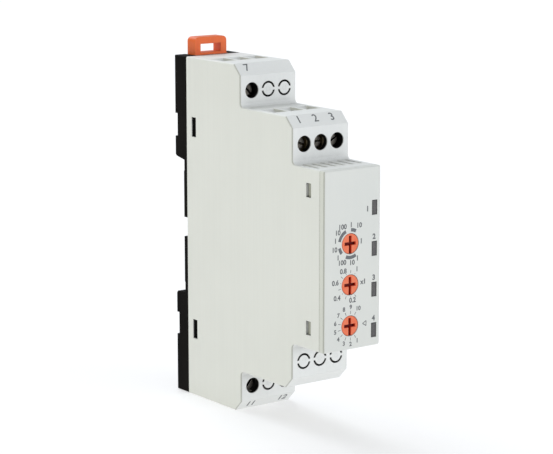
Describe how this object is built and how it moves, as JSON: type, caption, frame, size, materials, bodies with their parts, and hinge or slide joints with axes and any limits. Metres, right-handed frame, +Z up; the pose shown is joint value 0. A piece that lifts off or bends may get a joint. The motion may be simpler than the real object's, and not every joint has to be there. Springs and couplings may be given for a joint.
{
  "type": "din rail timer",
  "caption": "Slim stepped rail-mounted timer: slotted dials and indicator windows on the front, screw terminals on two tiers at each end, sprung rail latch.",
  "frame": {"origin": "middle of the rail seat, on the plane that the rail's flanges rest on", "axes": "+Y from the device into the rail and the panel behind it, +Z up, +X to the right as the user faces the front"},
  "size_m": [0.0176, 0.0641, 0.0946],
  "materials": {
    "housing": "fine satin moulding texture, warm light grey",
    "cover": "fine satin moulding texture, cool light grey",
    "base": "satin black moulding",
    "latch": "smooth orange moulding",
    "spring": "drawn spring wire",
    "knob": "smooth orange moulding",
    "rotor": "white plastic",
    "switch_body": "blue plastic",
    "window": "smoked, finely textured light guide",
    "led": "clear resin chip",
    "circuit_board": "green solder mask",
    "header": "black plastic",
    "pin_metal": "gold-coloured flash",
    "relay_case": "black cover",
    "film_case": "yellow cast case",
    "can": "bare can, dark sleeve",
    "varistor": "blue epoxy coat",
    "chip": "black epoxy",
    "resistor": "grey-green coat",
    "screw_steel": "zinc plated, slot edges worn bright",
    "cage_steel": "zinc plated",
    "contact": "tinned brass strip"
  },
  "bodies": {
    "timer": {"housing_shell": "housing", "front_cover": "cover", "rear_base": "base", "latch_spring": "spring", "range_switch": "switch_body", "mode_switch": "switch_body", "time_potentiometer": "switch_body", "indicator_leds": "led", "front_board": "circuit_board", "main_board": "circuit_board", "board_header": "header", "header_pins": "pin_metal", "relay": "relay_case", "supply_capacitor": "film_case", "smoothing_capacitor": "can", "timing_capacitor": "can", "varistor": "varistor", "bridge_rectifier": "chip", "fuse_resistor": "resistor", "microcontroller": "chip", "voltage_regulator": "chip", "relay_driver": "chip", "chip_resistors": "chip", "indicator_window_1": "window", "indicator_window_2": "window", "indicator_window_3": "window", "indicator_window_4": "window", "supply_top_contact": "contact", "output_left_contact": "contact", "output_middle_contact": "contact", "output_right_contact": "contact", "supply_bottom_left_contact": "contact", "supply_bottom_right_contact": "contact"},
    "latch": {"rail_latch": "latch"},
    "range_dial": {"range_knob": "knob", "range_rotor": "rotor"},
    "time_dial": {"time_knob": "knob", "time_rotor": "rotor"},
    "mode_dial": {"mode_knob": "knob", "mode_rotor": "rotor"},
    "supply_top_screw_body": {"supply_top_screw": "screw_steel"},
    "supply_top_cage_body": {"supply_top_cage": "cage_steel"},
    "output_left_screw_body": {"output_left_screw": "screw_steel"},
    "output_left_cage_body": {"output_left_cage": "cage_steel"},
    "output_middle_screw_body": {"output_middle_screw": "screw_steel"},
    "output_middle_cage_body": {"output_middle_cage": "cage_steel"},
    "output_right_screw_body": {"output_right_screw": "screw_steel"},
    "output_right_cage_body": {"output_right_cage": "cage_steel"},
    "supply_bottom_left_screw_body": {"supply_bottom_left_screw": "screw_steel"},
    "supply_bottom_left_cage_body": {"supply_bottom_left_cage": "cage_steel"},
    "supply_bottom_right_screw_body": {"supply_bottom_right_screw": "screw_steel"},
    "supply_bottom_right_cage_body": {"supply_bottom_right_cage": "cage_steel"}
  },
  "joints": [
    {"name": "latch_slide", "type": "slide", "parent": "timer", "child": "latch", "axis": [0, 0, 1], "range_m": [0, 0.004], "stiffness_N_per_m": 300, "springref_m": -0.012, "deforming": ["latch_spring"]},
    {"name": "range_turn", "type": "hinge", "parent": "timer", "child": "range_dial", "pos_m": [-0.00062, -0.06, 0.004], "axis": [0, 1, 0], "range_deg": [-30, 210]},
    {"name": "time_turn", "type": "hinge", "parent": "timer", "child": "time_dial", "pos_m": [-0.00062, -0.06, -0.00625], "axis": [0, 1, 0], "range_deg": [-30, 210]},
    {"name": "mode_turn", "type": "hinge", "parent": "timer", "child": "mode_dial", "pos_m": [-0.00062, -0.06, -0.0165], "axis": [0, 1, 0], "range_deg": [-30, 210]},
    {"name": "supply_top_cage_slide", "type": "slide", "parent": "timer", "child": "supply_top_cage_body", "axis": [0, -1, 0], "range_m": [0, 0.003]},
    {"name": "supply_top_screw_turn", "type": "hinge", "parent": "timer", "child": "supply_top_screw_body", "pos_m": [-0.00508, -0.0235, 0.03835], "axis": [0, 1, 0], "range_deg": [0, 2401]},
    {"name": "output_left_cage_slide", "type": "slide", "parent": "timer", "child": "output_left_cage_body", "axis": [0, -1, 0], "range_m": [0, 0.003]},
    {"name": "output_left_screw_turn", "type": "hinge", "parent": "timer", "child": "output_left_screw_body", "pos_m": [-0.00508, -0.0453, 0.02735], "axis": [0, 1, 0], "range_deg": [0, 2401]},
    {"name": "output_middle_cage_slide", "type": "slide", "parent": "timer", "child": "output_middle_cage_body", "axis": [0, -1, 0], "range_m": [0, 0.003]},
    {"name": "output_middle_screw_turn", "type": "hinge", "parent": "timer", "child": "output_middle_screw_body", "pos_m": [0, -0.0453, 0.02735], "axis": [0, 1, 0], "range_deg": [0, 2401]},
    {"name": "output_right_cage_slide", "type": "slide", "parent": "timer", "child": "output_right_cage_body", "axis": [0, -1, 0], "range_m": [0, 0.003]},
    {"name": "output_right_screw_turn", "type": "hinge", "parent": "timer", "child": "output_right_screw_body", "pos_m": [0.00508, -0.0453, 0.02735], "axis": [0, 1, 0], "range_deg": [0, 2401]},
    {"name": "supply_bottom_left_cage_slide", "type": "slide", "parent": "timer", "child": "supply_bottom_left_cage_body", "axis": [0, -1, 0], "range_m": [0, 0.003]},
    {"name": "supply_bottom_left_screw_turn", "type": "hinge", "parent": "timer", "child": "supply_bottom_left_screw_body", "pos_m": [-0.00508, -0.0235, -0.03835], "axis": [0, 1, 0], "range_deg": [0, 2401]},
    {"name": "supply_bottom_right_cage_slide", "type": "slide", "parent": "timer", "child": "supply_bottom_right_cage_body", "axis": [0, -1, 0], "range_m": [0, 0.003]},
    {"name": "supply_bottom_right_screw_turn", "type": "hinge", "parent": "timer", "child": "supply_bottom_right_screw_body", "pos_m": [0.00508, -0.0235, -0.03835], "axis": [0, 1, 0], "range_deg": [0, 2401]}
  ],
  "couplings": [
    {"joint": "supply_top_screw_turn", "follows": "supply_top_cage_slide", "rad_per_m": 13963},
    {"joint": "output_left_screw_turn", "follows": "output_left_cage_slide", "rad_per_m": 13963},
    {"joint": "output_middle_screw_turn", "follows": "output_middle_cage_slide", "rad_per_m": 13963},
    {"joint": "output_right_screw_turn", "follows": "output_right_cage_slide", "rad_per_m": 13963},
    {"joint": "supply_bottom_left_screw_turn", "follows": "supply_bottom_left_cage_slide", "rad_per_m": 13963},
    {"joint": "supply_bottom_right_screw_turn", "follows": "supply_bottom_right_cage_slide", "rad_per_m": 13963}
  ]
}
